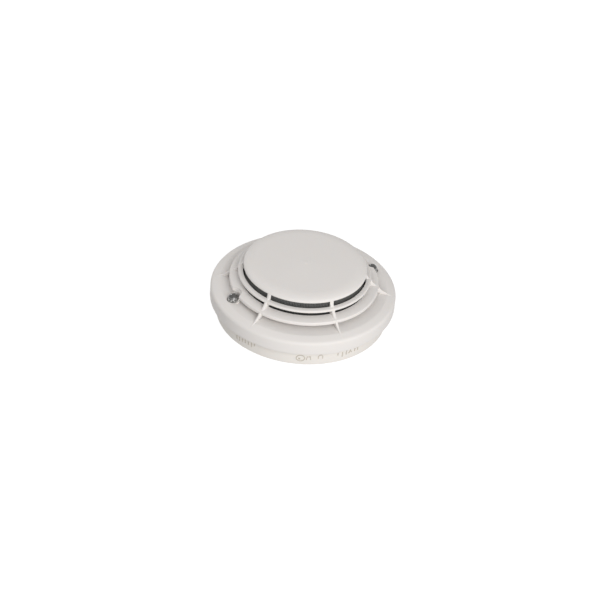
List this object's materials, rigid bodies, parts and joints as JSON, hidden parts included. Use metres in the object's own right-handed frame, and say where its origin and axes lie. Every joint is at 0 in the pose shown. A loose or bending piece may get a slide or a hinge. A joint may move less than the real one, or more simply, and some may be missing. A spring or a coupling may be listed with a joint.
{
  "type": "heat detector",
  "caption": "Low-profile ceiling heat detector: a louvred plug-in head with a flat cap and indicator lamps, twist-locked into a slim round wiring base.",
  "frame": {"origin": "centre of the wiring base's mounting face, the flat face that goes against the ceiling", "axes": "+Z out of the mounting face along the detector's axis, towards the cap; +X along the line through the two fixing slots and through one of the cap's ribs; +Y completes the right-handed frame"},
  "size_m": [0.102, 0.102, 0.0336],
  "materials": {
    "ivory_plastic": "satin moulded ivory",
    "cage_black": "matt black moulded",
    "screen_wire": "dark woven wire",
    "component_black": "matt black epoxy",
    "board_laminate": "green solder resist over glass-fibre laminate",
    "contact_bronze": "rolled bronze strip",
    "plated_steel": "bright zinc plate",
    "capacitor_can": "bright drawn can",
    "lamp_lens": "smoky tinted, polished",
    "switch_glass": "clear drawn glass",
    "diode_red": "tinted clear epoxy",
    "sensor_bead": "glass bead on tinned leads",
    "dial_plastic": "moulded off-white"
  },
  "bodies": {
    "base": {"mounting_base": "ivory_plastic", "terminal_strip_1": "contact_bronze", "terminal_strip_2": "contact_bronze", "terminal_strip_3": "contact_bronze", "terminal_strip_4": "contact_bronze", "clamp_plate_1": "plated_steel", "clamp_plate_2": "plated_steel", "clamp_plate_3": "plated_steel", "clamp_plate_4": "plated_steel", "terminal_screw_1": "plated_steel", "terminal_screw_2": "plated_steel", "terminal_screw_3": "plated_steel", "terminal_screw_4": "plated_steel"},
    "head": {"front_cover": "ivory_plastic", "lower_housing": "ivory_plastic", "contact_blade_1": "contact_bronze", "contact_blade_2": "contact_bronze", "contact_blade_3": "contact_bronze", "contact_blade_4": "contact_bronze", "board_screw_1": "plated_steel", "board_screw_2": "plated_steel", "board_screw_3": "plated_steel", "circuit_board": "board_laminate", "lamp_diode_1": "diode_red", "lamp_diode_2": "diode_red", "lamp_lens_1": "lamp_lens", "lamp_lens_2": "lamp_lens", "microcontroller": "component_black", "surge_suppressor": "component_black", "reservoir_capacitor": "capacitor_can", "test_reed_switch": "switch_glass", "address_switch_1": "component_black", "address_switch_2": "component_black", "sensor_cage": "cage_black", "insect_screen": "screen_wire", "sensor_holder": "ivory_plastic", "thermistor_1": "sensor_bead", "thermistor_2": "sensor_bead"},
    "address_dial_tens": {"address_dial_1": "dial_plastic"},
    "address_dial_units": {"address_dial_2": "dial_plastic"}
  },
  "joints": [
    {"name": "head_twist", "type": "hinge", "parent": "base", "child": "head", "pos_m": [0, 0, 0], "axis": [0, 0, 1], "range_deg": [0, 18]},
    {"name": "dial_tens_turn", "type": "hinge", "parent": "head", "child": "address_dial_tens", "pos_m": [-0.008, -0.012, 0.0099], "axis": [0, 0, 1], "continuous": true},
    {"name": "dial_units_turn", "type": "hinge", "parent": "head", "child": "address_dial_units", "pos_m": [0.008, -0.012, 0.0099], "axis": [0, 0, 1], "continuous": true}
  ]
}
